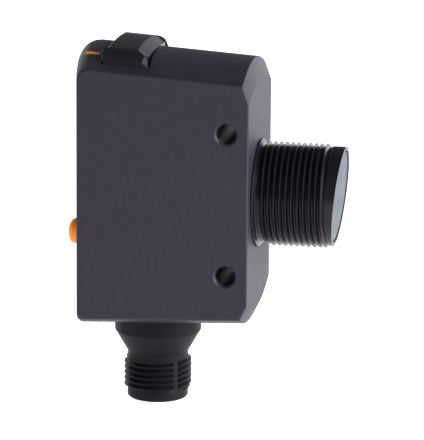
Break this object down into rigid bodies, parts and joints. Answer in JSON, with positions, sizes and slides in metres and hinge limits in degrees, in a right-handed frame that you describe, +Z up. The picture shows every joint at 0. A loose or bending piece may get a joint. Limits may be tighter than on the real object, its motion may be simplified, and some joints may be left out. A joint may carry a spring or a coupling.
{
  "type": "photoelectric sensor",
  "caption": "Cuboid photoelectric sensor with a threaded light nozzle, a round threaded plug connector below, a lit strip on top and a push button on the rear.",
  "frame": {"origin": "on the nozzle's axis, midway between the two mounting bores", "axes": "+X along the light's direction out of the nozzle, +Z up away from the connector, Y across the width"},
  "size_m": [0.0481, 0.023, 0.063],
  "materials": {
    "housing_plastic": "fine-grained moulded",
    "nozzle_plastic": "moulded satin",
    "connector_plastic": "moulded satin",
    "smoked_window": "polished smoked",
    "front_glass": "polished",
    "orange_plastic": "moulded satin",
    "sealant": "cured",
    "plate": "plain film",
    "clear_plastic": "polished",
    "black_rubber": "moulded",
    "black_plastic": "moulded",
    "chip_black": "moulded epoxy",
    "board": "solder resist",
    "lamp": "clear epoxy",
    "tinned_steel": "tinned",
    "switch_grey": "moulded",
    "brass": "nickel plated",
    "gold_contacts": "gold plated"
  },
  "bodies": {
    "body": {"housing": "housing_plastic", "rear_cover": "housing_plastic", "cover_seal": "sealant", "rear_plate": "plate", "index_mark": "orange_plastic", "led_window": "smoked_window", "light_guide": "clear_plastic", "threaded_nozzle": "nozzle_plastic", "front_window": "front_glass", "window_seal": "black_rubber", "optics_carrier": "black_plastic", "emitter_lens": "clear_plastic", "receiver_lens": "clear_plastic", "emitter": "clear_plastic", "receiver": "chip_black", "optics_board": "board", "main_board": "board", "terminal_board": "board", "board_link": "black_plastic", "board_chips": "chip_black", "status_lamps": "lamp", "shield_can": "tinned_steel", "button_membrane": "black_rubber", "switch_body": "black_plastic", "connector_shell": "connector_plastic", "connector_seal": "black_rubber", "lock_ring": "brass", "contact_carrier": "black_plastic", "contact_pins": "gold_contacts"},
    "button": {"teach_button": "orange_plastic", "switch_plunger": "switch_grey"}
  },
  "joints": [
    {"name": "button_press", "type": "slide", "parent": "body", "child": "button", "axis": [1, 0, 0], "range_m": [0, 0.0005], "stiffness_N_per_m": 2000, "springref_m": -0.0002, "deforming": ["button_membrane"]}
  ]
}
